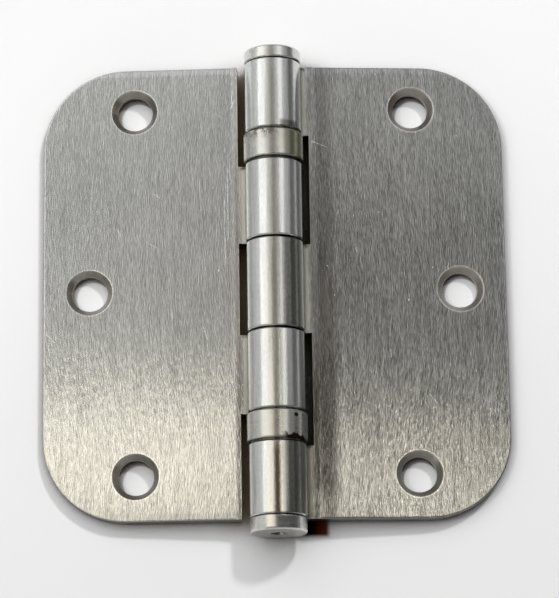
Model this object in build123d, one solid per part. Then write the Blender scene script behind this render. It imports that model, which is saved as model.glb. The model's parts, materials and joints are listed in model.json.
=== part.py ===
"""Ball bearing butt hinge: two rolled leaves on one pin, with a ring of balls above and below.

The hinge lies open with its countersunk faces up, as it comes to rest. X runs across the leaves,
Y along the pin towards its head, and Z up. The bearing rings and the outer edges of both leaves
touch z = 0, and the origin is the middle of the hinge's box on that surface. Millimetres.
"""
from build123d import *
from math import asin, atan2, cos, degrees, hypot, pi, radians, sin, tan
import os

# Leaves
leaf_reach = 44.45            # pin axis to a leaf's outer edge
leaf_height = 88.9            # along the pin
leaf_thickness = 2.4
corner_radius = 15.875
face_edge_radius = 0.3        # rounded edge round the countersunk face
closed_gap = 1.6              # between the two faces when the hinge is shut

# Bend that drops each leaf to the roll
swage_angle = 19.0
swage_radius = 3.0            # inside radius of the bend
seam_gap = 0.1                # between the end of the roll and the leaf
knuckle_chamfer = 0.25

# Knuckles along the pin
end_knuckle_length = 13.95
centre_knuckle_length = 17.45
knuckle_gap = 0.3             # between knuckles that have no bearing between them
notch_clearance = 1.15        # bearing ring to the bottom of a notch

# Screw holes, measured from the leaf's edges
screw_hole_diameter = 6.8
countersink_diameter = 8.9
countersink_angle = 82.0
end_hole_from_end = 8.55
end_hole_from_edge = 17.6
middle_hole_from_edge = 8.85

# Pin and plug
pin_diameter = 6.0
pin_clearance = 0.05          # on the radius
pin_end_gap = 0.5             # pin's tip to the plug's spigot
pin_tip_chamfer = 0.6
head_height = 2.45
head_edge_radius = 0.5
plug_height = 2.85
plug_edge_radius = 0.5
plug_spigot_length = 4.0
drive_hole_diameter = 3.2
end_cap_inset = 0.05          # head and plug inside the knuckle's outline
end_cap_gap = 0.15            # head and plug to the end knuckles
end_cap_chamfer = 0.2

# Bearings
bearing_height = 6.15
shell_proud = 0.3             # ring outside the knuckle's outline
shell_wall = 0.6
shell_end_gap = 0.4           # ring to the knuckle on either side
shell_edge_radius = 0.3
race_clearance = 0.1          # turning race inside the ring
groove_depth = 0.28
ball_side_clearance = 0.15    # ball to the walls beside it
ball_groove_clearance = 0.03
ball_spacing = 0.3            # between neighbouring balls

# Barrel
pin_radius = pin_diameter / 2
bore_radius = pin_radius + pin_clearance
barrel_radius = bore_radius + leaf_thickness
end_cap_radius = barrel_radius - end_cap_inset
shell_radius = barrel_radius + shell_proud
shell_bore_radius = shell_radius - shell_wall
notch_reach = shell_radius + notch_clearance

# Leaf faces below the pin axis, and the turn that lays a leaf's outer edge on the floor
face_drop = closed_gap / 2
back_drop = face_drop + leaf_thickness
droop = degrees(asin(shell_radius / hypot(leaf_reach, back_drop)) - atan2(back_drop, leaf_reach))

# Places along the pin, from the middle of the leaves
leaf_end = leaf_height / 2
end_knuckle_inner = leaf_end - end_knuckle_length
bearing_inner = end_knuckle_inner - bearing_height
bearing_middle = end_knuckle_inner - bearing_height / 2
centre_knuckle_end = centre_knuckle_length / 2
inner_knuckle_end = centre_knuckle_end + knuckle_gap
middle_y = (plug_height - head_height) / 2

# Balls and races
ball_diameter = shell_bore_radius - bore_radius - 2 * ball_side_clearance
ball_circle_radius = (shell_bore_radius + bore_radius) / 2
ball_count = int(2 * pi * ball_circle_radius / (ball_diameter + ball_spacing))
groove_radius = ball_diameter / 2 + ball_groove_clearance
race_thickness = bearing_height / 2 - groove_radius + groove_depth

three_knuckle_spans = [
    (end_knuckle_inner, leaf_end),
    (-centre_knuckle_end, centre_knuckle_end),
    (-leaf_end, -end_knuckle_inner),
]
two_knuckle_spans = [
    (inner_knuckle_end, bearing_inner),
    (-bearing_inner, -inner_knuckle_end),
]


def on_circle(radius, angle):
    """Point of a circle round the pin axis, in the leaf's section."""
    return (radius * cos(radians(angle)), radius * sin(radians(angle)))


def turned(*outline):
    """Solid of revolution round the pin axis, from edges in (radius, along the pin)."""
    return revolve(make_face(outline), Axis.Y, 360)


def turned_polygon(*points):
    return turned(*Polyline(*points, close=True).edges())


def section_plane(y):
    """Plane across the pin at y, with its drawing in X and Z and its extrusions towards -Y."""
    return Plane(origin=(0, y, 0), x_dir=(1, 0, 0), z_dir=(0, -1, 0))


# The roll leaves the slope at this angle round the pin and comes back to it at roll_end.
roll_start = swage_angle - 90
roll_end = swage_angle + degrees(asin((seam_gap - bore_radius) / barrel_radius))
roll_turn = 360 + roll_start - roll_end


def bend_points(roll_radius, drop, bend_radius):
    """Where one face of the sheet leaves the roll, meets the bend and meets the flat leaf."""
    rise = radians(swage_angle)
    start = Vector(*on_circle(roll_radius, roll_start))
    along = Vector(cos(rise), sin(rise))
    corner = start + along * ((-drop - start.Y) / sin(rise))
    tangent = bend_radius * tan(rise / 2)
    return start, corner - along * tangent, corner + Vector(tangent, 0)


face_bend_radius = swage_radius + leaf_thickness
face_roll, face_bend, face_flat = bend_points(bore_radius, face_drop, face_bend_radius)
back_roll, back_bend, back_flat = bend_points(barrel_radius, back_drop, swage_radius)


def rolled_section():
    """Sheet from the flat leaf down the slope and round the pin, ending square at the seam."""
    return make_face([
        RadiusArc(face_flat, face_bend, -face_bend_radius),
        Line(face_bend, face_roll),
        CenterArc((0, 0), bore_radius, roll_start, -roll_turn),
        Line(on_circle(bore_radius, roll_end), on_circle(barrel_radius, roll_end)),
        CenterArc((0, 0), barrel_radius, roll_end, roll_turn),
        Line(back_roll, back_bend),
        RadiusArc(back_bend, back_flat, swage_radius),
        Line(back_flat, face_flat),
    ])


def flat_plate():
    """Flat part of a leaf, with its two outer corners and the edge of its face rounded."""
    inner_x = face_flat.X
    outline = make_face([
        Line((inner_x, -leaf_end), (leaf_reach - corner_radius, -leaf_end)),
        CenterArc((leaf_reach - corner_radius, corner_radius - leaf_end), corner_radius, -90, 90),
        Line((leaf_reach, corner_radius - leaf_end), (leaf_reach, leaf_end - corner_radius)),
        CenterArc((leaf_reach - corner_radius, leaf_end - corner_radius), corner_radius, 0, 90),
        Line((leaf_reach - corner_radius, leaf_end), (inner_x, leaf_end)),
        Line((inner_x, leaf_end), (inner_x, -leaf_end)),
    ])
    plate = extrude(Pos(0, 0, -back_drop) * outline, leaf_thickness)
    face = plate.faces().sort_by(Axis.Z)[-1]
    inner_edge = face.edges().sort_by(Axis.X)[0]
    rim = [edge for edge in face.edges() if not edge.is_same(inner_edge)]
    return fillet(rim, face_edge_radius)


def notches(spans):
    """Room between the knuckles of one leaf for the knuckles and bearings of the other."""
    ends = [leaf_end] + [y for span in sorted(spans, reverse=True) for y in reversed(span)] + [-leaf_end]
    gaps = [(low, high) for high, low in zip(ends[::2], ends[1::2]) if high > low]
    width = notch_reach + shell_radius
    return [
        Pos(notch_reach - width / 2, (low + high) / 2, 0) * Box(width, high - low, 2 * shell_radius)
        for low, high in gaps
    ]


def knuckle_edge(y, inward):
    """Chamfer round the free outside edge of a knuckle's end."""
    corner_x = barrel_radius + knuckle_chamfer
    corner = Polyline(
        (corner_x, y - inward * knuckle_chamfer),
        (corner_x, y + inward * 2 * knuckle_chamfer),
        (barrel_radius - 2 * knuckle_chamfer, y - inward * knuckle_chamfer),
        close=True,
    )
    profile = Rotation(0, -roll_end, 0) * make_face(corner.edges())
    return revolve(profile, Axis.Y, -roll_turn)


def screw_hole(x, y):
    """Hole through the leaf with its countersink, opening at the face."""
    flare = (countersink_diameter - screw_hole_diameter) / 2
    depth = flare / tan(radians(countersink_angle / 2))
    hole = Cylinder(screw_hole_diameter / 2, 4 * leaf_thickness)
    sink = Cone(screw_hole_diameter / 2, countersink_diameter / 2, depth)
    return [Pos(x, y, -face_drop) * hole, Pos(x, y, -face_drop - depth / 2) * sink]


def leaf(spans):
    """One leaf on the +X side of the pin, flat, with the pin axis along Y through the origin."""
    rolled = extrude(section_plane(leaf_end) * rolled_section(), leaf_height)
    cuts = notches(spans)
    for low, high in spans:
        cuts += [knuckle_edge(low, 1), knuckle_edge(high, -1)]
    end_hole_x = leaf_reach - end_hole_from_edge
    end_hole_y = leaf_end - end_hole_from_end
    cuts += screw_hole(end_hole_x, end_hole_y)
    cuts += screw_hole(leaf_reach - middle_hole_from_edge, 0)
    cuts += screw_hole(end_hole_x, -end_hole_y)
    return (flat_plate() + rolled) - cuts


def hinge_pin():
    """Shank through every knuckle under a low round head."""
    seat = leaf_end + end_cap_gap
    tip = plug_spigot_length + pin_end_gap - seat
    crown = seat + head_height
    return turned(
        Line((0, tip), (pin_radius - pin_tip_chamfer, tip)),
        Line((pin_radius - pin_tip_chamfer, tip), (pin_radius, tip + pin_tip_chamfer)),
        Line((pin_radius, tip + pin_tip_chamfer), (pin_radius, seat)),
        Line((pin_radius, seat), (end_cap_radius - end_cap_chamfer, seat)),
        Line((end_cap_radius - end_cap_chamfer, seat), (end_cap_radius, seat + end_cap_chamfer)),
        Line((end_cap_radius, seat + end_cap_chamfer), (end_cap_radius, crown - head_edge_radius)),
        CenterArc((end_cap_radius - head_edge_radius, crown - head_edge_radius), head_edge_radius, 0, 90),
        Line((end_cap_radius - head_edge_radius, crown), (0, crown)),
        Line((0, crown), (0, tip)),
    )


def bottom_plug():
    """Cap under the lowest knuckle, with a spigot in its bore and a hole to drive the pin out."""
    seat = -leaf_end - end_cap_gap
    foot = seat - plug_height
    top = seat + plug_spigot_length
    hole_radius = drive_hole_diameter / 2
    return turned(
        Line((hole_radius, top), (pin_radius, top)),
        Line((pin_radius, top), (pin_radius, seat)),
        Line((pin_radius, seat), (end_cap_radius - end_cap_chamfer, seat)),
        Line((end_cap_radius - end_cap_chamfer, seat), (end_cap_radius, seat - end_cap_chamfer)),
        Line((end_cap_radius, seat - end_cap_chamfer), (end_cap_radius, foot + plug_edge_radius)),
        CenterArc((end_cap_radius - plug_edge_radius, foot + plug_edge_radius), plug_edge_radius, 0, -90),
        Line((end_cap_radius - plug_edge_radius, foot), (hole_radius, foot)),
        Line((hole_radius, foot), (hole_radius, top)),
    )


def bearing_shell():
    """Plain ring round the balls, about its own middle."""
    half = bearing_height / 2 - shell_end_gap
    ring = turned_polygon(
        (shell_bore_radius, -half),
        (shell_radius, -half),
        (shell_radius, half),
        (shell_bore_radius, half),
    )
    rims = ring.edges().filter_by(GeomType.CIRCLE).group_by(SortBy.RADIUS)[-1]
    return fillet(rims, shell_edge_radius)


def race(outer_radius, side):
    """Grooved washer on one side of the balls, about the bearing's middle."""
    outer_y = side * bearing_height / 2
    inner_y = outer_y - side * race_thickness
    washer = turned_polygon(
        (bore_radius, outer_y),
        (outer_radius, outer_y),
        (outer_radius, inner_y),
        (bore_radius, inner_y),
    )
    groove = Rotation(90, 0, 0) * Torus(ball_circle_radius, groove_radius)
    return washer - groove


def ball(number):
    angle = 2 * pi * number / ball_count
    place = Pos(ball_circle_radius * cos(angle), 0, ball_circle_radius * sin(angle))
    return place * Sphere(ball_diameter / 2)


def bearing(name, middle, fixed_side):
    """Nodes of one bearing; its ring holds the race on the three-knuckle leaf's side."""
    place = Pos(0, middle, 0)
    nodes = {
        f"{name}_bearing_shell": place * bearing_shell(),
        f"{name}_fixed_race": place * race(shell_bore_radius, fixed_side),
        f"{name}_turning_race": place * race(shell_bore_radius - race_clearance, -fixed_side),
    }
    for number in range(ball_count):
        nodes[f"{name}_ball_{number + 1:02d}"] = place * ball(number)
    return nodes


nodes = {
    "three_knuckle_leaf": Rotation(0, droop, 0) * leaf(three_knuckle_spans),
    "two_knuckle_leaf": Rotation(0, -droop, 0) * mirror(leaf(two_knuckle_spans), about=Plane.YZ),
    "hinge_pin": hinge_pin(),
    "bottom_plug": bottom_plug(),
    **bearing("upper", bearing_middle, 1),
    **bearing("lower", -bearing_middle, -1),
}

os.makedirs("parts", exist_ok=True)
for node, shape in nodes.items():
    export_step(Pos(0, middle_y, shell_radius) * shape, f"parts/{node}.step")
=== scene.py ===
import json
from math import pi, radians, tan

import bpy
from bpy.props import FloatProperty, FloatVectorProperty, PointerProperty
from mathutils import Matrix, Vector


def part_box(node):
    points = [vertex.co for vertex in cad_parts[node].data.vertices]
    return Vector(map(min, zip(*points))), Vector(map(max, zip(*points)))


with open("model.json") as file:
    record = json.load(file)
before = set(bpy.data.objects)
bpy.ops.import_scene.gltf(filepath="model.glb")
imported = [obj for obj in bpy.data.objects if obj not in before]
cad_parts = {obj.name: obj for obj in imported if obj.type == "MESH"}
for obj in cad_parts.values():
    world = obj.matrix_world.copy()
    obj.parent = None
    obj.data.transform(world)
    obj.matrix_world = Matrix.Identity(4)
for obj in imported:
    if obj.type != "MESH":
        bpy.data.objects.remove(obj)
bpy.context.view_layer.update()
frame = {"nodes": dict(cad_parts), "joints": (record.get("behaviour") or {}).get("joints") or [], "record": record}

bl_info = {
    "name": "Ball bearing hinge",
    "version": (1, 0, 0),
    "blender": (4, 5, 0),
    "location": "View3D > Sidebar > Hinge",
    "description": "Dresses the ball bearing hinge in worn brushed steel on a pale studio floor",
    "category": "Object",
}

MM = 0.001
FLOOR_SIDES = 128
RIM_STEPS = 12

LEAVES = ("three_knuckle_leaf", "two_knuckle_leaf")
SHELLS = ("upper_bearing_shell", "lower_bearing_shell")

# Scratches seen on each leaf: start and end across and along the pin from its middle, in millimetres
SCRATCHES = {
    "three_knuckle_leaf": [
        ((7.4, 29.4), (10.4, 28.2)),
        ((15.6, 8.2), (15.8, 7.2)),
        ((29.0, -20.6), (30.4, -22.4)),
        ((36.4, 3.4), (38.6, 1.6)),
        ((21.8, -12.0), (21.9, -13.4)),
    ],
    "two_knuckle_leaf": [
        ((-7.4, 38.0), (-8.2, 36.2)),
        ((-8.0, 38.6), (-7.9, 37.2)),
        ((-9.0, 24.0), (-8.9, 10.0)),
        ((-8.6, 26.2), (-8.4, 21.8)),
        ((-9.6, 18.0), (-9.5, 5.0)),
        ((-43.8, -8.0), (-42.2, -9.6)),
        ((-13.9, -7.2), (-13.0, -9.8)),
        ((-30.2, 12.4), (-29.6, 11.2)),
    ],
}

WHITE = (1.0, 1.0, 1.0)
PEARL = (1.0, 0.985, 0.96)
DUSK = (1.0, 0.97, 0.94)
CREAM = (1.0, 0.925, 0.78)
BROWN = (1.0, 0.70, 0.50)

# Light panels overhead: degrees across and along the pin as seen from the hinge, radiance, tint
PANELS = {
    "left_panel": ((-62, -31), (12.0, 62), 1.35, WHITE),
    "left_warm_panel": ((-52, -30), (-30, 12.0), 1.4, CREAM),
    "left_edge": ((-31, -14.5), (12.0, 23), 0.40, PEARL),
    "left_top_edge": ((-31, -14.5), (23, 45), 0.9, WHITE),
    "left_low_edge": ((-30, -14.5), (8.8, 12.0), 2.25, CREAM),
    "left_front_edge": ((-30, -14.5), (-30, 8.8), 1.2, CREAM),
    "low_card": ((-14.5, 7.5), (5.5, 18.5), 0.09, BROWN),
    "high_card": ((-14.5, 7.5), (18.5, 45), 0.30, DUSK),
    "right_high_panel": ((40, 66), (20, 45), 0.45, WHITE),
    "right_card": ((7.5, 21), (10.4, 17.5), 0.095, DUSK),
    "right_high_card": ((7.5, 21), (17.5, 23), 0.46, DUSK),
    "right_top_edge": ((7.5, 21), (23, 45), 0.9, WHITE),
    "right_low_panel": ((9.5, 15.5), (2, 10.4), 4.3, CREAM),
    "right_strip": ((21, 40), (10.4, 55), 1.2, WHITE),
    "right_warm_panel": ((22, 36), (2, 10.4), 1.3, CREAM),
}

# Dimly lit walls round the stage: bearing in degrees from the pin's head, width in metres, radiance
WALLS = {
    "left_wall": (90, 2.4, 0.62),
    "right_wall": (-90, 2.4, 0.08),
    "front_wall": (180, 3.2, 0.42),
    "back_wall": (0, 2.4, 0.45),
}

# Lights for the floor: turn about X and about Y, and spread, in degrees
SUNS = {
    "floor_key": (-3, -32, 8),
    "floor_back": (-35.6, 26.6, 6),
    "floor_top": (-20, -18, 80),
}

# Places read from the frame: the pin's axis runs along Y
pin_axis = Vector(frame["joints"][0]["pos_m"])
barrel_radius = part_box("three_knuckle_leaf")[1].z - pin_axis.z
plug_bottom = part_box("bottom_plug")[0].y
leaf_low, leaf_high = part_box("three_knuckle_leaf")
leaf_middle = (leaf_low.y + leaf_high.y) / 2
upper_ring_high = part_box("upper_bearing_shell")[1].y
lower_ring_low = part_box("lower_bearing_shell")[0].y


def screw_holes(leaf):
    """Centre and direction of each screw hole in a leaf, from the record's mounts."""
    mounts = frame["record"]["mounts"]
    bores = [m for m in mounts if m["kind"] == "bore" and m["name"].startswith(leaf)]
    return [(Vector(m["pos_m"]), Vector(m["axis"])) for m in bores]


def cell(across, along, flat=False):
    """Size of a pattern's cells, from millimetres. A flat pattern is the same at every depth."""
    return (across * MM, along * MM, 1.0 if flat else across * MM)


def length(name, description, millimetres):
    return FloatProperty(
        name=name, description=description, default=millimetres * MM, min=0.0,
        subtype="DISTANCE", unit="LENGTH", precision=5,
    )


def share(name, description, default):
    return FloatProperty(
        name=name, description=description, default=default, min=0.0, max=1.0, subtype="FACTOR",
    )


def strength(name, description, default):
    return FloatProperty(name=name, description=description, default=default, min=0.0)


def angle(name, description, degrees):
    return FloatProperty(
        name=name, description=description, default=radians(degrees), subtype="ANGLE", unit="ROTATION",
    )


def colour(name, description, default):
    return FloatVectorProperty(
        name=name, description=description, default=default, min=0.0, max=1.0, size=3, subtype="COLOR",
    )


class LeafFinish(bpy.types.PropertyGroup):
    """Brushed steel of the two leaves"""

    face: colour("Face", "Brushed steel of the two-knuckle leaf's face", (0.60, 0.61, 0.595))
    # Painted shade: the three-knuckle leaf is the same steel, given a darker colour
    shade_painted_face: colour("Dark face", "Brushed steel of the three-knuckle leaf's face", (0.42, 0.427, 0.417))
    barrel: colour("Barrel", "Smoother steel of the rolled knuckles", (0.655, 0.665, 0.64))
    fold: colour("Fold", "Steel in the bend beside the barrel", (0.56, 0.545, 0.50))
    cut: colour("Cut edge", "Raw steel of the sheared edges", (0.17, 0.155, 0.135))
    countersink: colour("Countersink", "Steel inside the screw holes", (0.42, 0.395, 0.36))
    # Fresh metal for specks and scratches; on rims and edges it is partly a painted highlight
    bright: colour("Bright wear", "Fresh metal of rims, specks and scratches", (0.90, 0.90, 0.88))
    # Dirt, and painted shade from ambient occlusion in the corners and joints beside the barrel
    dirt_and_shade: colour("Grime", "Dirt in the joints", (0.03, 0.024, 0.018))
    # A brown streak painted along the lowest knuckle
    brown_streak_tone: colour("Rust", "Brown streak along the lowest knuckle", (0.20, 0.125, 0.08))
    smudge: colour("Smudge", "Dark rub low on the topmost knuckle", (0.17, 0.165, 0.14))
    face_roughness: share("Face roughness", "Roughness of the brushed face", 0.13)
    barrel_roughness: share("Barrel roughness", "Roughness of the knuckles", 0.2)
    brushing: share("Brushing", "How much more the brushed face scatters across the pin", 0.8)
    haze: share("Haze", "Share of the shine that is broad and soft", 0.26)
    haze_roughness: share("Haze roughness", "Roughness of the broad shine", 0.285)
    grain_width: length("Grain width", "Width of the finest brush marks", 0.1)
    grain_length: length("Grain length", "Length of the finest brush marks", 1.3)
    streak_width: length("Streak width", "Width of one brush mark", 0.15)
    streak_length: length("Streak length", "Length of one brush mark", 1.7)
    streak_depth: length("Streak depth", "Depth of the brush marks", 0.031)
    scratch_width: length("Scratch width", "Half width of the longer scratches", 0.13)
    pit_depth: length("Pit depth", "Depth of the pits and rubs on the barrel", 0.03)
    contrast: share("Contrast", "Light and dark of the two-knuckle leaf's brush marks", 0.46)
    dark_contrast: share("Dark contrast", "Light and dark of the three-knuckle leaf's brush marks", 0.85)
    low_contrast: share("Low contrast", "How much stronger the brush marks are towards the plug", 0.45)
    low_start: length("Low start", "Middle of the pin to where they begin to get stronger", 2)
    low_full: length("Low full", "Middle of the pin to where they are strongest", 26)
    # Painted shade: the leaves' colour darkens towards their outer edges
    edge_shade: share("Edge fade", "How much darker the two-knuckle leaf gets towards its edge", 0.06)
    dark_edge_shade: share("Dark edge fade", "How much darker the three-knuckle leaf gets there", 0.2)
    fade_start: length("Fade start", "Pin axis to where the leaves begin to get darker", 18)
    fade_full: length("Fade full", "Pin axis to where they are darkest", 44)
    brush_lean: angle("Brush lean", "Lean of the two-knuckle leaf's brush marks towards its edge", 5.2)
    fold_reach: length("Fold reach", "Pin axis to where the flat face begins", 8.1)
    # Painted light: the bends beside the barrel are made paler towards the head
    painted_fold_light: share("Fold lift", "How much paler the bends are towards the head", 0.55)
    hollow_reach: length("Hollow reach", "Pin axis to the end of the pressed hollow", 11.7)
    hollow_depth: length("Hollow depth", "Dip of the three-knuckle leaf towards its barrel", 0.2)
    # Painted shade in the hollow and in the band beside the barrel
    hollow_shade: share("Hollow shade", "How much darker the hollow is", 0.2)
    band_start: length("Band start", "Pin axis to where the dark band beside the barrel fades", 10.4)
    band_reach: length("Band reach", "Pin axis to the end of that band", 12.2)
    band_length: length("Band length", "Middle of the pin to the band's end towards the plug", 41)
    band_shade: share("Band shade", "How dark the band is", 0.36)
    # Painted highlight: a bright line beside the band on the three-knuckle leaf
    glint_across: length("Glint across", "Pin axis to the bright line beside the band", 13)
    glint_width: length("Glint width", "Half width of the bright line", 1.6)
    painted_glint: share("Glint", "How bright the line is", 0.22)
    end_roll: length("End roll", "How far the sheared ends of a leaf roll over", 0.022)
    end_roll_reach: length("End roll reach", "Width of the rolled-over strip", 1.5)
    brown_streak_across: length("Rust across", "Pin axis to the middle of the brown streak", 0.1)
    brown_streak_width: length("Rust width", "Half width of the brown streak", 1.05)
    smudge_across: length("Smudge across", "Pin axis to the middle of the dark rub", 2.9)
    smudge_height: length("Smudge height", "Bearing ring to the top of the dark rub", 2.1)
    hole_rim: length("Hole rim", "Radius of the countersink at the face", 4.45)
    edge_width: length("Edge width", "Width of the worn line along the edges", 0.18)
    # Reach of the painted shade, with some dirt, in the corners beside the barrel
    corner_shade_reach: length("Dirt reach", "How far dirt creeps out of the corners beside the barrel", 2.6)
    # Reach of the painted shade, with the dirt, in the joints
    joint_shade_reach: length("Joint reach", "How near the steel must be for a joint to be filled with dirt", 0.9)


class PinFinish(bpy.types.PropertyGroup):
    """Turned steel of the pin and the plug"""

    steel: colour("Steel", "Turned steel", (0.66, 0.66, 0.63))
    end: colour("End", "Duller steel of the flat ends", (0.36, 0.345, 0.31))
    bright: colour("Bright wear", "Fresh metal of the worn edges", (0.85, 0.84, 0.80))
    # This colour also paints shade in the joints
    dirt_and_shade: colour("Grime", "Dirt in the drive-out hole and the scuffs", (0.10, 0.09, 0.08))
    roughness: share("Roughness", "Roughness of the turned steel", 0.26)
    edge_width: length("Edge width", "Width of the worn edges", 0.2)
    drive_hole: length("Drive-out hole", "Radius of the grime in the drive-out hole", 1.75)
    turning_pitch: length("Turning pitch", "Distance between tool marks", 0.16)
    turning_depth: length("Turning depth", "Depth of the tool marks", 0.006)
    # Reach of the painted shade, with the dirt, in the joints
    joint_shade_reach: length("Joint reach", "How near the steel must be for a joint to be filled with dirt", 0.5)
    plug_lean: angle("Plug lean", "Taper of the plug's side towards its end", 10.0)


class ShellFinish(bpy.types.PropertyGroup):
    """Dull steel of the bearing rings"""

    steel: colour("Steel", "Dull steel", (0.58, 0.578, 0.54))
    bright: colour("Bright wear", "Fresh metal of the worn edges", (0.86, 0.85, 0.80))
    tarnish: colour("Tarnish", "Yellowed steel on the upper ring's right side", (0.36, 0.35, 0.23))
    # This colour is also painted as shade in the rings' joints
    stain: colour("Stain", "Old oil baked onto the lower ring", (0.03, 0.018, 0.012))
    scuff: colour("Scuff", "Rubbed steel along the upper ring's edge", (0.12, 0.10, 0.07))
    roughness: share("Roughness", "Roughness of the ring", 0.28)
    edge_width: length("Edge width", "Width of the worn edges", 0.22)
    grain_depth: length("Grain depth", "Depth of the ring's dull grain", 0.006)
    # Reach of the painted shade in the joints
    joint_shade_reach: length("Joint reach", "How near the steel must be for a joint to be filled with dirt", 0.5)
    tarnish_start: length("Tarnish start", "Pin axis to where the yellowed steel begins", 2.2)
    tarnish_full: length("Tarnish full", "Pin axis to where it is strongest", 5.2)
    scuff_depth: length("Scuff depth", "Ring's upper edge to the middle of the rubbed steel", 0.3)
    scuff_width: length("Scuff width", "Half width of the rubbed steel", 2.4)
    stain_start: length("Stain start", "Pin axis to where the oil stain begins", 0.8)
    stain_height: length("Stain height", "Height of the oil stain's tallest runs", 2.6)
    dot_across: length("Dot across", "Pin axis to the black dot on the lower ring", 3.5)
    dot_depth: length("Dot depth", "Ring's upper edge to the black dot", 1.0)
    dot_radius: length("Dot radius", "Size of the black dot", 0.3)


class BearingFinish(bpy.types.PropertyGroup):
    """Hardened steel inside the bearings, dark with old grease"""

    race: colour("Race", "Greasy steel of the races", (0.10, 0.092, 0.08))
    ball: colour("Ball", "Polished steel of the balls", (0.72, 0.72, 0.72))
    oil: colour("Oil", "Film of grease on races and balls", (0.05, 0.04, 0.028))
    race_roughness: share("Race roughness", "Roughness of the races", 0.25)
    ball_roughness: share("Ball roughness", "Roughness of the balls", 0.08)
    edge_width: length("Edge width", "Width of the soft edges", 0.08)
    grind_depth: length("Grind depth", "Depth of the grinding marks", 0.001)


class StageSettings(bpy.types.PropertyGroup):
    """Floor, light and camera"""

    floor: colour("Floor", "Pale paper under the hinge", (0.90, 0.90, 0.90))
    # Painted shade on the floor in the slots and under the hinge, warmer beside the two-knuckle leaf
    shade: colour("Shade", "Floor in the slots and corners under the hinge", (0.03, 0.022, 0.008))
    left_shade: colour("Left shade", "Floor in the slots beside the two-knuckle leaf", (0.10, 0.065, 0.028))
    shade_reach: length("Shade reach", "How near the steel must be to shade the floor", 8)
    # Painted shadow: a brown-black patch on the floor beside the plug, under the three-knuckle leaf's end
    corner_shadow: colour("Corner", "Brown floor between the plug and the three-knuckle leaf", (0.10, 0.022, 0.006))
    corner_across: length("Corner across", "Pin axis to the middle of that brown floor", 7.0)
    corner_half: length("Corner half width", "Half width of that brown floor across the pin", 2.4)
    corner_depth: length("Corner depth", "How far the brown floor stands out from the leaf's end", 2.5)
    # Painted light: a round under each screw hole that is kept free of the painted shade
    hole_light: length("Hole light", "Radius of the lit floor under a screw hole", 3.1)
    hole_light_shift: length("Hole light shift", "How far that light falls to the lower right", 0.6)
    table_reach: length("Table reach", "Radius of the floor that the steel reflects", 150)
    floor_reach: length("Floor reach", "Radius of the flat floor", 1500)
    floor_rim: length("Floor rim", "Height of the curved edge of the floor", 900)
    floor_flare: length("Floor flare", "How far each step of that edge leans out", 60)
    room: colour("Room", "Dim room round the lights", (0.07, 0.07, 0.07))
    floor_key: strength("Floor key", "Strength of the floor's light from the left", 0.36)
    floor_back: strength("Floor back", "Strength of the floor's light from behind", 1.22)
    floor_top: strength("Floor top", "Strength of the floor's broad light from above", 2.1)
    wall_away: length("Wall distance", "Pin to the dimly lit walls round the stage", 1100)
    left_wall: length("Left wall", "Height of the lit wall on the left", 760)
    right_wall: length("Right wall", "Height of the lit wall on the right", 280)
    front_wall: length("Front wall", "Height of the lit wall in front", 900)
    back_wall: length("Back wall", "Height of the lit wall behind", 520)
    panel_height: length("Panel height", "Height of the light panels above the floor", 1000)
    lens: FloatProperty(
        name="Lens", description="Focal length on a 36 mm frame", default=173.66, unit="CAMERA",
    )
    distance: length("Distance", "Camera to the point it looks at", 548.31)
    aim: FloatVectorProperty(
        name="Aim", description="Point the camera looks at, from the middle of the pin",
        default=(0.763 * MM, -2.348 * MM, 0.0), size=3, subtype="TRANSLATION", unit="LENGTH", precision=5,
    )
    tilt: angle("Tilt", "Lean of the camera towards the plug", 14.275)
    turn: angle("Turn", "Swing of the camera to the side", -0.799)
    roll: angle("Roll", "Roll of the camera", -0.666)


class Value:
    """A shader socket in an expression: each operator on it adds one Math node."""

    def __init__(self, finish, socket):
        self.finish = finish
        self.socket = socket

    def step(self, operation, *terms):
        return self.finish.node("ShaderNodeMath", {"operation": operation}, dict(enumerate(terms)))

    def __add__(self, other):
        return self.step("ADD", self, other)

    def __radd__(self, other):
        return self.step("ADD", other, self)

    def __sub__(self, other):
        return self.step("SUBTRACT", self, other)

    def __rsub__(self, other):
        return self.step("SUBTRACT", other, self)

    def __mul__(self, other):
        return self.step("MULTIPLY", self, other)

    def __rmul__(self, other):
        return self.step("MULTIPLY", other, self)

    def __pow__(self, other):
        return self.step("POWER", self, other)

    def __neg__(self):
        return self.step("SUBTRACT", 0.0, self)

    def __abs__(self):
        return self.step("ABSOLUTE", self)

    def __gt__(self, other):
        return self.step("GREATER_THAN", self, other)

    def least(self, other):
        return self.step("MINIMUM", self, other)

    def most(self, other):
        return self.step("MAXIMUM", self, other)


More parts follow.
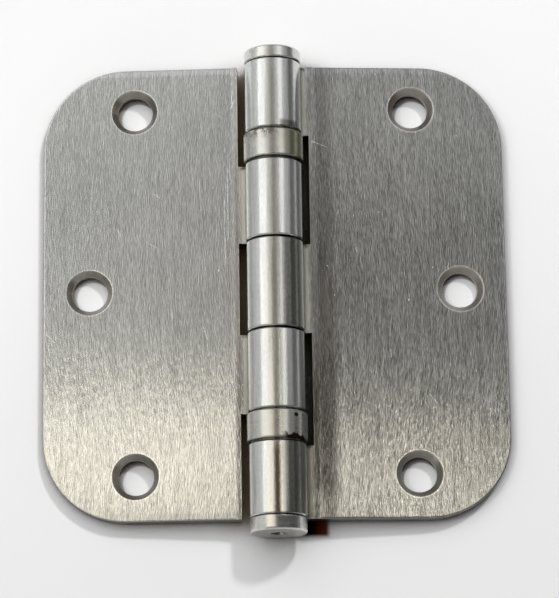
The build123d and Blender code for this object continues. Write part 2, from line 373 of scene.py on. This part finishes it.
class Finish:
    """A procedural material while its nodes are laid down."""

    def __init__(self, name):
        self.material = bpy.data.materials.new(name)
        self.material.use_nodes = True
        self.tree = self.material.node_tree
        self.tree.nodes.clear()
        self.place, self.normal = self.node("ShaderNodeTexCoord", give=("Object", "Normal"))

    def join(self, socket, value):
        if isinstance(value, Value):
            self.tree.links.new(value.socket, socket)
        elif socket.type == "RGBA":
            socket.default_value = (*value, 1.0)
        else:
            socket.default_value = value

    def node(self, kind, settings=None, sockets=None, give=0):
        """Adds a node: settings first, then its sockets' values or links. Gives one output or several."""
        made = self.tree.nodes.new(kind)
        for name, setting in (settings or {}).items():
            setattr(made, name, setting)
        for name, value in (sockets or {}).items():
            self.join(made.inputs[name], value)
        if isinstance(give, tuple):
            return [Value(self, made.outputs[name]) for name in give]
        return Value(self, made.outputs[give])

    def split(self, vector):
        return self.node("ShaderNodeSeparateXYZ", sockets={0: vector}, give=("X", "Y", "Z"))

    def vector(self, operation, *terms, give=0):
        return self.node("ShaderNodeVectorMath", {"operation": operation}, dict(enumerate(terms)), give)

    def shade(self, tone, factor):
        """A colour made lighter or darker by a value."""
        return self.node("ShaderNodeVectorMath", {"operation": "SCALE"}, {0: tone, "Scale": factor})

    def blend(self, factor, under, over):
        """One colour laid over another."""
        settings = {"data_type": "RGBA", "clamp_factor": True}
        return self.node("ShaderNodeMix", settings, {0: factor, 6: under, 7: over}, give=2)

    def ramp(self, value, low, high):
        """0 at low and 1 at high, with a soft start and end."""
        sockets = {"Value": value, "From Min": low, "From Max": high}
        return self.node("ShaderNodeMapRange", {"interpolation_type": "SMOOTHSTEP"}, sockets)

    def until(self, value, low, high):
        """1 up to low and 0 from high on."""
        return 1 - self.ramp(value, low, high)

    def near(self, value, middle, half_width):
        """1 where a value is at the middle, down to 0 half a width away."""
        return self.until(abs(value - middle), 0.0, half_width)

    def within(self, value, middle, half_width, soft):
        """1 inside half a width of the middle, with an edge that is this soft."""
        return self.until(abs(value - middle), half_width - soft, half_width + soft)

    def grid(self, size, turn=0.0):
        """Object coordinates measured in cells of a size, turned about Z."""
        sockets = {"Vector": self.place, "Rotation": (0.0, 0.0, turn)}
        turned = self.node("ShaderNodeMapping", sockets=sockets)
        return self.vector("DIVIDE", turned, size)

    def noise(self, size, detail=2.0):
        """Cloudy pattern from 0 to 1 whose clouds are about one size across."""
        sockets = {"Vector": self.grid(size), "Scale": 1.0, "Detail": detail}
        return self.node("ShaderNodeTexNoise", sockets=sockets)

    def marks(self, size, reach, chosen, turn=0.0, flat=False):
        """Scattered marks: cells of a size, a mark this share of a cell wide in the chosen share of them."""
        cells = self.grid(size, turn)
        wander = self.node("ShaderNodeTexNoise", sockets={"Vector": cells, "Scale": 5.0}, give="Color")
        bent = self.vector("MULTIPLY_ADD", wander, (0.12, 0.12, 0.12), cells)
        settings = {"voronoi_dimensions": "2D" if flat else "3D"}
        sockets = {"Vector": bent, "Scale": 1.0}
        apart, lot = self.node("ShaderNodeTexVoronoi", settings, sockets, give=("Distance", "Color"))
        draw, breadth, _ = self.split(lot)
        inside = self.until(apart, 0.25 * reach, reach * (0.5 + breadth))
        return inside * (draw > 1 - chosen)

    def line(self, start, end, width):
        """1 along a straight line drawn on the leaf, seen from above."""
        run = (end - start).to_3d()
        offset = self.vector("SUBTRACT", self.place, start.to_3d())
        offset = self.vector("MULTIPLY", offset, (1.0, 1.0, 0.0))
        passed = self.vector("DOT_PRODUCT", offset, run, give="Value") * (1 / run.length_squared)
        foot = self.shade(run, passed.most(0.0).least(1.0))
        away = self.vector("LENGTH", self.vector("SUBTRACT", offset, foot), give="Value")
        return self.until(away, 0.3 * width, width)

    def rounded(self, radius):
        """Normal with edges rounded to a radius, and how far that turns it from the surface."""
        soft = self.node("ShaderNodeBevel", {"samples": 6}, {"Radius": radius})
        flat = self.node("ShaderNodeNewGeometry", give="Normal")
        turned = 1 - self.vector("DOT_PRODUCT", soft, flat, give="Value")
        return soft, self.ramp(turned, 0.01, 0.12)

    def occlusion_shade(self, reach, shut=0.2, clear=0.62):
        """1 in narrow gaps and corners, where ambient occlusion finds shade, 0 in the open: a mask for painted
        shade.
        """
        sockets = {"Distance": reach}
        return self.until(self.node("ShaderNodeAmbientOcclusion", {"samples": 6}, sockets, "AO"), shut, clear)

    def metal(self, tone, roughness, normal, anisotropy=0.0):
        """Steel shader. A brushed one scatters light across the pin's direction."""
        sockets = {"Base Color": tone, "Metallic": 1.0, "Roughness": roughness, "Normal": normal}
        if anisotropy:
            across = self.node("ShaderNodeTangent", {"direction_type": "RADIAL", "axis": "Y"})
            sockets.update({"Anisotropic": anisotropy, "Tangent": across})
        return self.node("ShaderNodeBsdfPrincipled", sockets=sockets)

    def bump(self, height, depth, normal):
        """Surface raised by a height of 0 to 1 times a depth."""
        sockets = {"Height": height, "Distance": depth, "Normal": normal}
        return self.node("ShaderNodeBump", sockets=sockets)

    def mixed(self, factor, under, over):
        """One shader laid over another."""
        return self.node("ShaderNodeMixShader", sockets={0: factor, 1: under, 2: over})

    def done(self, shader):
        self.node("ShaderNodeOutputMaterial", sockets={"Surface": shader}, give=())
        return self.material


def from_axis(finish):
    """Distance of the surface from the pin's axis."""
    offset = finish.vector("SUBTRACT", finish.place, pin_axis)
    flat = finish.vector("MULTIPLY", offset, (1.0, 0.0, 1.0))
    return finish.vector("LENGTH", flat, give="Value")


def from_holes(finish, holes):
    """Distance of the surface from the axis of the nearest screw hole."""
    nearest = None
    for centre, axis in holes:
        offset = finish.vector("SUBTRACT", finish.place, centre)
        across = finish.vector("CROSS_PRODUCT", offset, axis)
        away = finish.vector("LENGTH", across, give="Value")
        nearest = away if nearest is None else nearest.least(away)
    return nearest


def drawn_scratches(finish, leaf, width):
    """The leaf's own scratches, each broken by a fine noise."""
    middle = Vector((0.0, leaf_middle))
    lines = None
    for start, end in SCRATCHES[leaf]:
        line = finish.line(middle + MM * Vector(start), middle + MM * Vector(end), width)
        lines = line if lines is None else lines.most(line)
    return lines * finish.ramp(finish.noise(cell(0.3, 0.5)), 0.3, 0.55)


def leaf_wear(finish, leaf, settings):
    """Fresh metal showing in specks, flecks, nicks and scratches."""
    specks = finish.marks(cell(5.2, 6.4, flat=True), 0.03, 0.12, flat=True)
    flecks = finish.marks(cell(2.3, 3.6, flat=True), 0.04, 0.04, flat=True)
    nicks = finish.marks(cell(2.6, 26, flat=True), 0.03, 0.03, radians(24), flat=True)
    scuffs = finish.marks(cell(2.2, 40, flat=True), 0.03, 0.03, radians(-58), flat=True)
    scratches = drawn_scratches(finish, leaf, settings.scratch_width)
    worn = (specks * 0.6).most(flecks * 0.6).most(nicks * 0.5).most(scuffs * 0.4)
    return worn.most(scratches * 0.5)


def knuckle_tone(finish, settings, broad, pits, stained):
    """Smooth steel of the knuckles. Stained ones have a brown streak below and a dark rub above."""
    steel = finish.shade(tuple(settings.barrel), 0.66 + broad * 0.34 + pits * 0.34)
    if not stained:
        return steel
    across, along, _ = finish.split(finish.place)
    # Brown streak along the lowest knuckle, towards the plug
    streak = finish.near(across + pits * (0.6 * MM), settings.brown_streak_across, settings.brown_streak_width)
    streak = streak * finish.until(along, lower_ring_low - 3 * MM, lower_ring_low)
    steel = finish.blend(streak * 0.85, steel, tuple(settings.brown_streak_tone))
    top = upper_ring_high + settings.smudge_height
    rub = finish.within(across, settings.smudge_across, 1.65 * MM, 0.35 * MM)
    rub = rub * finish.until(along, top - 0.6 * MM, top)
    return finish.blend(rub * (0.5 + pits * 0.6), steel, tuple(settings.smudge))


def leaf_steel(leaf, settings, face, contrast, fade, hollow):
    """Leaf brushed along the pin, with a smoother barrel, raw cut edges, worn rims with a painted highlight, nicks
    and scratches, painted shade in its corners and joints, and painted light and shade beside the barrel.
    """
    finish = Finish(f"{leaf}_steel")
    away = from_axis(finish)
    hole = from_holes(finish, screw_holes(leaf))
    soft, edge = finish.rounded(settings.edge_width)
    upright = abs(finish.split(finish.normal)[2])
    across, along, _ = finish.split(finish.place)

    fine = finish.noise((settings.grain_width, settings.grain_length, settings.grain_width), 1.0)
    groove = finish.noise((settings.streak_width, settings.streak_length, settings.streak_width))
    broad = finish.noise(cell(0.6, 9))
    cloud = finish.noise(cell(14, 22))
    pits = finish.noise(cell(0.3, 0.7))
    brush = finish.ramp(fine * 0.45 + groove * 0.3 + broad * 0.25, 0.32, 0.68)

    barrel = finish.until(away, barrel_radius + 0.1 * MM, barrel_radius + 0.35 * MM)
    plate = 1 - barrel
    fold = finish.until(upright, 0.955, 0.99) * finish.until(away, settings.fold_reach, 9 * MM) * plate
    bend = finish.until(away, settings.fold_reach - 0.5 * MM, settings.fold_reach + 0.3 * MM) * plate
    sunk = finish.until(hole, settings.hole_rim - 0.08 * MM, settings.hole_rim)
    cut = finish.until(upright, 0.35, 0.8) * plate * (1 - sunk)
    rim = finish.near(hole, settings.hole_rim + 0.05 * MM, 0.28 * MM)
    ends = finish.near(abs(along - leaf_middle), leaf_high.y - leaf_middle, settings.end_roll_reach)
    low = finish.ramp(-along, settings.low_start, settings.low_full)
    worn = leaf_wear(finish, leaf, settings) * (1 - sunk) * plate

    depth = contrast + low * (settings.low_contrast * contrast)
    tone = finish.shade(face, 0.95 - depth * 0.5 + brush * depth + cloud * 0.1)
    # Painted shade towards the leaf's outer edge
    tone = finish.shade(tone, 1 - finish.ramp(abs(across), settings.fade_start, settings.fade_full) * fade)
    height = (groove - worn * 0.6) * settings.streak_depth - ends * settings.end_roll
    if hollow:
        rise = finish.ramp(away, settings.fold_reach, settings.hollow_reach)
        height = height + rise * settings.hollow_depth
        band = low * finish.until(-along, settings.band_length - 4 * MM, settings.band_length)
        # Painted shade: the band beside the barrel and the hollow are darkened
        dark = band * finish.until(away, settings.band_start, settings.band_reach) * settings.band_shade
        dark = dark + (1 - rise) * settings.hollow_shade
        # Painted highlight along the hollow's outer curve
        painted_glint = band * finish.near(away, settings.glint_across, settings.glint_width) * settings.painted_glint
        tone = finish.shade(tone, 1 - dark + painted_glint)
    else:
        height = height + across * tan(settings.brush_lean)

    tone = finish.blend(barrel, tone, knuckle_tone(finish, settings, broad, pits, hollow))
    tone = finish.blend(fold, tone, finish.shade(tuple(settings.fold), 0.82 + broad * 0.36))
    # Painted light on the bends beside the barrel
    tone = finish.shade(tone, 1 + bend * (1 - low) * settings.painted_fold_light)
    tone = finish.blend(cut, tone, finish.shade(tuple(settings.cut), 0.7 + pits * 0.6))
    tone = finish.blend(sunk, tone, finish.shade(tuple(settings.countersink), 0.75 + pits * 0.5))
    # Worn rims and edges, partly painted highlight
    tone = finish.blend((rim * 0.7).most(edge * plate * 0.6), tone, tuple(settings.bright))
    tone = finish.blend(worn, tone, tuple(settings.bright))
    # Painted shade with some dirt: ambient occlusion darkens the corners beside the barrel, the joints and the
    # knuckle edges
    corner_dirt_and_shade = finish.occlusion_shade(settings.corner_shade_reach, 0.15, 0.75) * (1 - sunk) * 0.42
    joint = finish.occlusion_shade(settings.joint_shade_reach).most(edge * barrel * 0.85)
    tone = finish.blend(corner_dirt_and_shade.most(joint), tone, tuple(settings.dirt_and_shade))

    raised = finish.bump(height, 1.0, soft)
    grained = finish.bump(pits * 0.6 + broad * 0.4, settings.pit_depth, soft)
    roughness = settings.face_roughness - 0.02 + brush * 0.04 + worn * 0.25
    brushed = finish.metal(tone, roughness, raised, settings.brushing)
    rolled = finish.metal(tone, settings.barrel_roughness - 0.04 + pits * 0.08, grained)
    haze = finish.metal(tone, settings.haze_roughness, raised)
    dull = cut.most(sunk).most(fold * 0.8).most(settings.haze)
    return finish.done(finish.mixed(dull, finish.mixed(barrel, brushed, rolled), haze))


def turned_steel(name, settings, lean):
    """Turned pin or plug with fine tool marks, scuffs, duller ends and a grimy drive-out hole."""
    finish = Finish(name)
    soft, edge = finish.rounded(settings.edge_width)
    away = from_axis(finish)
    along = finish.split(finish.place)[1]
    end = finish.ramp(abs(finish.split(finish.normal)[1]), 0.8, 0.95)
    hole = finish.until(away, settings.drive_hole - 0.25 * MM, settings.drive_hole)
    hole = hole * finish.until(along, plug_bottom, 0.0)
    tool = finish.noise((4 * MM, settings.turning_pitch, 4 * MM))
    cloud = finish.noise(cell(1.6, 1.2), 3.0)
    scuffs = finish.marks((1.4 * MM, 3.2 * MM, 2.0 * MM), 0.12, 0.3, radians(30))
    tone = finish.blend(end, tuple(settings.steel), tuple(settings.end))
    tone = finish.shade(tone, 0.78 + tool * 0.16 + cloud * 0.28)
    tone = finish.blend(edge * 0.6, tone, tuple(settings.bright))
    tone = finish.blend(scuffs * 0.5, tone, tuple(settings.dirt_and_shade))
    # Real dirt in the drive-out hole, and painted shade in the joints from ambient occlusion
    tone = finish.blend(hole.most(finish.occlusion_shade(settings.joint_shade_reach)), tone, tuple(settings.dirt_and_shade))
    roughness = settings.roughness - 0.05 + cloud * 0.12 + scuffs * 0.2 + end * 0.15
    height = (tool * 0.5 + cloud * 0.5) * settings.turning_depth + along * tan(lean)
    return finish.done(finish.metal(tone, roughness, finish.bump(height, 1.0, soft)))


def ring_scuffs(finish, settings, high, cloud, grain):
    """Rubbed steel along a ring's upper edge, on its left side."""
    across, along, _ = finish.split(finish.place)
    patch = finish.ramp(grain * 0.4 + cloud * 0.6, 0.48, 0.54)
    patch = patch * finish.near(along, high - settings.scuff_depth, settings.scuff_width)
    return patch * finish.until(across, -1 * MM, 2 * MM)


def ring_stain(finish, settings, low, high):
    """Oil that ran down a ring's lower edge, and a black dot near its upper one."""
    across, along, _ = finish.split(finish.place)
    runs = finish.noise((1.1 * MM, 60 * MM, 60 * MM)) * settings.stain_height - 0.65 * MM
    oil = finish.ramp(runs - along + low, 0.0, 0.3 * MM)
    oil = oil * finish.ramp(across, settings.stain_start, settings.stain_start + 1.2 * MM)
    x = across - settings.dot_across
    y = along - high + settings.dot_depth
    dot = finish.until((x * x + y * y) ** 0.5, settings.dot_radius, 1.5 * settings.dot_radius)
    return oil.most(dot)


def ring_steel(name, settings, ring):
    """Dull ring: the upper one tarnished and scuffed, the lower one stained by oil with a black dot."""
    finish = Finish(name)
    low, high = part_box(ring)
    soft, edge = finish.rounded(settings.edge_width)
    cloud = finish.noise(cell(1.5, 1.2), 3.0)
    grain = finish.noise(cell(0.18, 0.4))
    tone = finish.shade(tuple(settings.steel), 0.8 + cloud * 0.26 + grain * 0.14)
    tone = finish.blend(edge * 0.6, tone, tuple(settings.bright))
    if ring == SHELLS[0]:
        right = finish.split(finish.place)[0] + cloud * (3 * MM)
        tarnish = finish.ramp(right, settings.tarnish_start, settings.tarnish_full)
        tone = finish.blend(tarnish * 0.8, tone, tuple(settings.tarnish))
        rubbed = ring_scuffs(finish, settings, high.y, cloud, grain)
        tone = finish.blend(rubbed * 0.85, tone, tuple(settings.scuff))
        dirt = rubbed * 0.5
    else:
        dirt = ring_stain(finish, settings, low.y, high.y)
        tone = finish.blend(dirt, tone, tuple(settings.stain))
    # Painted shade: ambient occlusion lays the oil colour into the ring's joints
    tone = finish.blend(finish.occlusion_shade(settings.joint_shade_reach), tone, tuple(settings.stain))
    roughness = settings.roughness - 0.04 + cloud * 0.08 + dirt * 0.2
    normal = finish.bump(cloud * 0.7 + grain * 0.3, settings.grain_depth, soft)
    return finish.done(finish.metal(tone, roughness, normal))


def bearing_steel(name, settings, steel, roughness):
    """Hardened steel with a broken film of oil."""
    finish = Finish(name)
    film = finish.noise(cell(0.9, 0.9), 3.0)
    grind = finish.noise(cell(0.05, 0.4))
    oiled = finish.ramp(film, 0.5, 0.7)
    tone = finish.shade(steel, 0.85 + grind * 0.3)
    tone = finish.blend(oiled * 0.6, tone, tuple(settings.oil))
    soft, _ = finish.rounded(settings.edge_width)
    normal = finish.bump(grind, settings.grind_depth, soft)
    return finish.done(finish.metal(tone, roughness + oiled * 0.08, normal))


def floor_paper(settings):
    """Pale matt paper with painted light falloff, darker towards the viewer, painted warm shade under the hinge
    and a painted brown shadow beside the plug.
    """
    finish = Finish("floor_paper")
    across, along, _ = finish.split(finish.place)
    mottle = finish.noise(cell(60, 60), 3.0)
    # Painted light falloff: the paper darkens towards the viewer and the right
    painted_falloff = finish.ramp(along * -0.95 + across * 0.3, -60 * MM, 75 * MM)
    tone = finish.shade(tuple(settings.floor), 1.0 - painted_falloff * 0.17 + mottle * 0.02)

    shift = Vector((settings.hole_light_shift, -settings.hole_light_shift, 0.0))
    holes = [(centre + shift, axis) for leaf in LEAVES for centre, axis in screw_holes(leaf)]
    lit = finish.until(from_holes(finish, holes), settings.hole_light, settings.hole_light + 0.35 * MM)
    # Painted shade from ambient occlusion, kept off the painted light under the screw holes
    painted_floor_shade = finish.occlusion_shade(settings.shade_reach, 0.25, 0.75) * (1 - lit)
    right = finish.ramp(across, -1 * MM, 1 * MM)
    shade = finish.blend(right, tuple(settings.left_shade), tuple(settings.shade))
    tone = finish.blend(painted_floor_shade, tone, shade)

    # Painted shadow beside the plug, black near the plug and brown further out
    start, end = settings.corner_half - 0.5 * MM, settings.corner_half + 0.6 * MM
    corner_shadow = finish.until(abs(across - settings.corner_across), start, end)
    start, end = settings.corner_depth - 0.4 * MM, settings.corner_depth + 0.6 * MM
    corner_shadow = corner_shadow * finish.until(abs(along - leaf_low.y), start, end)
    brown = finish.shade(tuple(settings.corner_shadow), 0.04 + finish.ramp(across, 6 * MM, 9.5 * MM) * 0.96)
    tone = finish.blend(corner_shadow, tone, brown)
    sockets = {"Base Color": tone, "Roughness": 0.9, "Specular IOR Level": 0.0}
    return finish.done(finish.node("ShaderNodeBsdfPrincipled", sockets=sockets))


def dress(node, material):
    """Gives a CAD node a finish."""
    for slot in frame["nodes"][node].material_slots:
        slot.material = material


def deselect():
    if bpy.context.object and bpy.context.object.mode != "OBJECT":
        bpy.ops.object.mode_set(mode="OBJECT")
    bpy.ops.object.select_all(action="DESELECT")


class HINGE_OT_dress_leaves(bpy.types.Operator):
    """Give both leaves brushed steel with a smooth barrel, worn rims with a painted highlight, nicks and painted
    shade
    """

    bl_idname = "hinge.dress_leaves"
    bl_label = "Dress leaves"

    def execute(self, context):
        settings = context.scene.hinge_leaf
        looks = [
            (tuple(settings.shade_painted_face), settings.dark_contrast, settings.dark_edge_shade, True),
            (tuple(settings.face), settings.contrast, settings.edge_shade, False),
        ]
        for leaf, look in zip(LEAVES, looks):
            dress(leaf, leaf_steel(leaf, settings, *look))
        return {"FINISHED"}


class HINGE_OT_dress_pin(bpy.types.Operator):
    """Give the pin and the plug turned steel"""

    bl_idname = "hinge.dress_pin"
    bl_label = "Dress pin and plug"

    def execute(self, context):
        settings = context.scene.hinge_pin
        dress("hinge_pin", turned_steel("pin_steel", settings, 0.0))
        dress("bottom_plug", turned_steel("plug_steel", settings, settings.plug_lean))
        return {"FINISHED"}


class HINGE_OT_dress_shells(bpy.types.Operator):
    """Give each bearing ring its dull, scuffed and stained steel"""

    bl_idname = "hinge.dress_shells"
    bl_label = "Dress bearing rings"

    def execute(self, context):
        for ring in SHELLS:
            dress(ring, ring_steel(f"{ring}_steel", context.scene.hinge_shell, ring))
        return {"FINISHED"}


class HINGE_OT_dress_bearings(bpy.types.Operator):
    """Give the races dark greasy steel and the balls polished steel"""

    bl_idname = "hinge.dress_bearings"
    bl_label = "Dress races and balls"

    def execute(self, context):
        settings = context.scene.hinge_bearing
        race = bearing_steel("race_steel", settings, tuple(settings.race), settings.race_roughness)
        ball = bearing_steel("ball_steel", settings, tuple(settings.ball), settings.ball_roughness)
        for node in frame["nodes"]:
            if node.endswith("_race"):
                dress(node, race)
            elif "_ball_" in node:
                dress(node, ball)
        return {"FINISHED"}


def add_table(settings, paper):
    """Round of floor under the hinge, which the steel reflects."""
    deselect()
    bpy.ops.mesh.primitive_circle_add(vertices=FLOOR_SIDES, radius=settings.table_reach, fill_type="NGON")
    table = bpy.context.object
    table.name = "studio_table"
    table.data.materials.append(paper)
    return table


def add_floor(settings, paper):
    """Floor round the table whose edge curves up, so that low views end in it. The steel doesn't see it."""
    deselect()
    bpy.ops.mesh.primitive_circle_add(vertices=FLOOR_SIDES, radius=settings.table_reach, fill_type="NOTHING")
    floor = bpy.context.object
    floor.name = "studio_floor"
    rise = range(1, RIM_STEPS + 1)
    reach = settings.floor_reach
    radii = [settings.table_reach, reach] + [reach + settings.floor_flare * step for step in rise]
    heights = [0.0, 0.0] + [settings.floor_rim * (step / RIM_STEPS) ** 2 for step in rise]
    bpy.ops.object.mode_set(mode="EDIT")
    bpy.ops.mesh.select_all(action="SELECT")
    for ring in range(1, len(radii)):
        widen = radii[ring] / radii[ring - 1]
        bpy.ops.mesh.extrude_edges_move()
        bpy.ops.transform.resize(value=(widen, widen, 1.0), center_override=(0.0, 0.0, 0.0))
        bpy.ops.transform.translate(value=(0.0, 0.0, heights[ring] - heights[ring - 1]))
    bpy.ops.mesh.select_all(action="SELECT")
    bpy.ops.mesh.normals_make_consistent(inside=False)
    bpy.ops.object.mode_set(mode="OBJECT")
    bpy.ops.object.shade_smooth()
    floor.data.materials.append(paper)
    floor.visible_glossy = False
    floor.visible_shadow = False
    return floor


def shape_panel(name, width, depth, radiance, tone):
    """Turns the light just added into a rectangle of even radiance."""
    light = bpy.context.object
    light.name = name
    light.data.shape = "RECTANGLE"
    light.data.size = width
    light.data.size_y = depth
    light.data.energy = radiance * pi * width * depth
    light.data.color = tone
    return light


def add_panel(name, height, across, along, radiance, tone):
    """Soft light overhead that fills a range of angles across and along the pin, seen from the hinge."""
    x0, x1 = (height * tan(radians(a)) for a in across)
    y0, y1 = (height * tan(radians(a)) for a in along)
    bpy.ops.object.light_add(type="AREA", location=((x0 + x1) / 2, (y0 + y1) / 2, height))
    return shape_panel(name, x1 - x0, y1 - y0, radiance, tone)


def add_wall(name, away, height, bearing, width, radiance):
    """Upright light on one side of the stage, facing the hinge."""
    turn = radians(bearing)
    place = Matrix.Rotation(turn, 3, "Z") @ Vector((0.0, away, height / 2))
    bpy.ops.object.light_add(type="AREA", location=place, rotation=(radians(-90), 0.0, turn))
    return shape_panel(name, width, height, radiance, WHITE)


def add_sun(name, energy, turn_x, turn_y, spread):
    """Even light on the floor from one side."""
    bpy.ops.object.light_add(type="SUN", rotation=(radians(turn_x), radians(turn_y), 0.0))
    light = bpy.context.object
    light.name = name
    light.data.energy = energy
    light.data.angle = radians(spread)
    return light


def light_only(lights, things, name):
    """Keeps lights to the things that they are hung for."""
    lit = bpy.data.collections.new(name)
    for thing in things:
        lit.objects.link(thing)
    for light in lights:
        light.light_linking.receiver_collection = lit


def add_lights(settings, floors):
    """Panels and walls that only the steel reflects, and lights from three sides for the floor."""
    deselect()
    panels = [add_panel(name, settings.panel_height, *panel) for name, panel in PANELS.items()]
    walls = [
        add_wall(name, settings.wall_away, getattr(settings, name), *wall) for name, wall in WALLS.items()
    ]
    suns = [add_sun(name, getattr(settings, name), *sun) for name, sun in SUNS.items()]
    light_only(panels + walls, frame["nodes"].values(), "lit_steel")
    light_only(suns, floors, "lit_floor")


def add_room(settings):
    """Dim room that the steel reflects between the lights."""
    world = bpy.data.worlds.new("dim_room")
    world.use_nodes = True
    world.node_tree.nodes["Background"].inputs["Color"].default_value = (*settings.room, 1.0)
    world.cycles_visibility.diffuse = False
    bpy.context.scene.world = world


def add_camera(settings):
    """Camera over the plug's end, set as the photograph was taken."""
    turn = Matrix.Rotation(settings.tilt, 3, "X")
    turn = turn @ Matrix.Rotation(settings.turn, 3, "Y") @ Matrix.Rotation(settings.roll, 3, "Z")
    aim = Vector((0.0, leaf_middle, pin_axis.z)) + Vector(settings.aim)
    place = aim + turn @ Vector((0.0, 0.0, settings.distance))
    bpy.ops.object.camera_add(location=place, rotation=turn.to_euler())
    camera = bpy.context.object
    camera.name = "photo_camera"
    camera.data.sensor_fit = "VERTICAL"
    camera.data.sensor_height = 36.0
    camera.data.lens = settings.lens
    bpy.context.scene.camera = camera


class HINGE_OT_build_stage(bpy.types.Operator):
    """Lay the floor, hang the lights and set the camera"""

    bl_idname = "hinge.build_stage"
    bl_label = "Build stage"

    def execute(self, context):
        settings = context.scene.hinge_stage
        paper = floor_paper(settings)
        floors = [add_table(settings, paper), add_floor(settings, paper)]
        add_lights(settings, floors)
        add_room(settings)
        add_camera(settings)
        context.scene.view_settings.view_transform = "Standard"
        return {"FINISHED"}


OPERATORS = (
    HINGE_OT_dress_leaves,
    HINGE_OT_dress_pin,
    HINGE_OT_dress_shells,
    HINGE_OT_dress_bearings,
    HINGE_OT_build_stage,
)
GROUPS = {
    "hinge_leaf": LeafFinish,
    "hinge_pin": PinFinish,
    "hinge_shell": ShellFinish,
    "hinge_bearing": BearingFinish,
    "hinge_stage": StageSettings,
}


class HINGE_PT_looks(bpy.types.Panel):
    """Steps that dress the hinge, with their settings"""

    bl_idname = "HINGE_PT_looks"
    bl_label = "Ball bearing hinge"
    bl_space_type = "VIEW_3D"
    bl_region_type = "UI"
    bl_category = "Hinge"

    def draw(self, context):
        for operator, group in zip(OPERATORS, GROUPS):
            self.layout.operator(operator.bl_idname)
            box = self.layout.box()
            settings = getattr(context.scene, group)
            for name in GROUPS[group].__annotations__:
                box.prop(settings, name)


def register():
    for group in GROUPS.values():
        bpy.utils.register_class(group)
    for name, group in GROUPS.items():
        setattr(bpy.types.Scene, name, PointerProperty(type=group))
    for operator in OPERATORS:
        bpy.utils.register_class(operator)
    bpy.utils.register_class(HINGE_PT_looks)


def unregister():
    bpy.utils.unregister_class(HINGE_PT_looks)
    for operator in reversed(OPERATORS):
        bpy.utils.unregister_class(operator)
    for name, group in GROUPS.items():
        delattr(bpy.types.Scene, name)
        bpy.utils.unregister_class(group)


def main():
    register()
    bpy.ops.hinge.dress_leaves()
    bpy.ops.hinge.dress_pin()
    bpy.ops.hinge.dress_shells()
    bpy.ops.hinge.dress_bearings()
    bpy.ops.hinge.build_stage()


if __name__ == "__main__":
    main()
